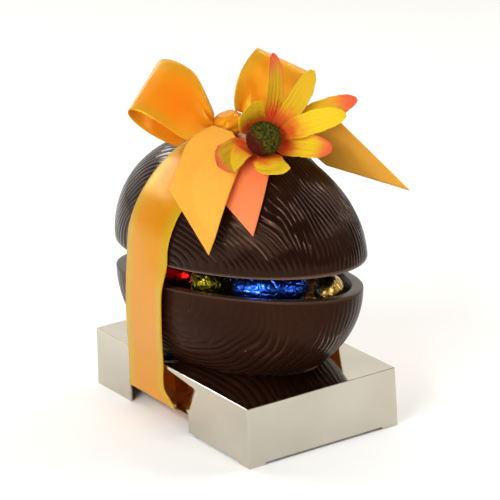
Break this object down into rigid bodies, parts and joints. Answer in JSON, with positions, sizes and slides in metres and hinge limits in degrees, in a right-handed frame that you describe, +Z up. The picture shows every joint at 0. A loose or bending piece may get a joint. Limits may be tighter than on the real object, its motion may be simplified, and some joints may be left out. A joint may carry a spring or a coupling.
{
  "type": "chocolate egg",
  "caption": "Ribbed dark chocolate egg in halves, filled with foil-wrapped eggs, set in a mirror card tray and tied with a satin ribbon, bow and cloth flower.",
  "frame": {"origin": "centre of the bounding box at the floor under the tray", "axes": "+Z up, X along the tray's long side, -Y towards the wall that the ribbon runs down in front"},
  "size_m": [0.1734, 0.125, 0.2142],
  "materials": {
    "chocolate": "dark chocolate with a satin gloss",
    "mirror_card": "silver mirror card",
    "satin_ribbon": "golden orange satin",
    "coral_ribbon": "coral satin",
    "petal_cloth": "printed yellow and coral cloth",
    "flower_green": "dark green flock",
    "red_foil": "crinkled coloured foil",
    "green_foil": "crinkled coloured foil",
    "blue_foil": "crinkled coloured foil",
    "gold_foil": "crinkled coloured foil",
    "orange_foil": "crinkled coloured foil"
  },
  "bodies": {
    "root": {"shell_lower": "chocolate", "shell_upper": "chocolate", "tray": "mirror_card", "foil_egg_red_front": "red_foil", "foil_egg_green_front": "green_foil", "foil_egg_blue_front": "blue_foil", "foil_egg_gold_end": "gold_foil", "foil_egg_blue_back": "blue_foil", "foil_egg_orange_back": "orange_foil", "foil_egg_gold_back": "gold_foil", "foil_egg_red_left": "red_foil", "foil_egg_green_left": "green_foil", "filling_bed": "gold_foil", "ribbon_band": "satin_ribbon", "bow_knot": "satin_ribbon", "bow_loop_left": "satin_ribbon", "bow_loop_right": "satin_ribbon", "tail_front": "satin_ribbon", "tail_coral": "coral_ribbon", "tail_right": "satin_ribbon", "petal_top": "petal_cloth", "petal_top_right": "petal_cloth", "petal_right_back": "petal_cloth", "petal_right": "petal_cloth", "petal_lower_right": "petal_cloth", "petal_bottom": "petal_cloth", "petal_lower_left": "petal_cloth", "petal_upper_left": "petal_cloth", "flower_ball": "flower_green", "flower_disc": "flower_green", "flower_stem": "flower_green"}
  },
  "joints": []
}
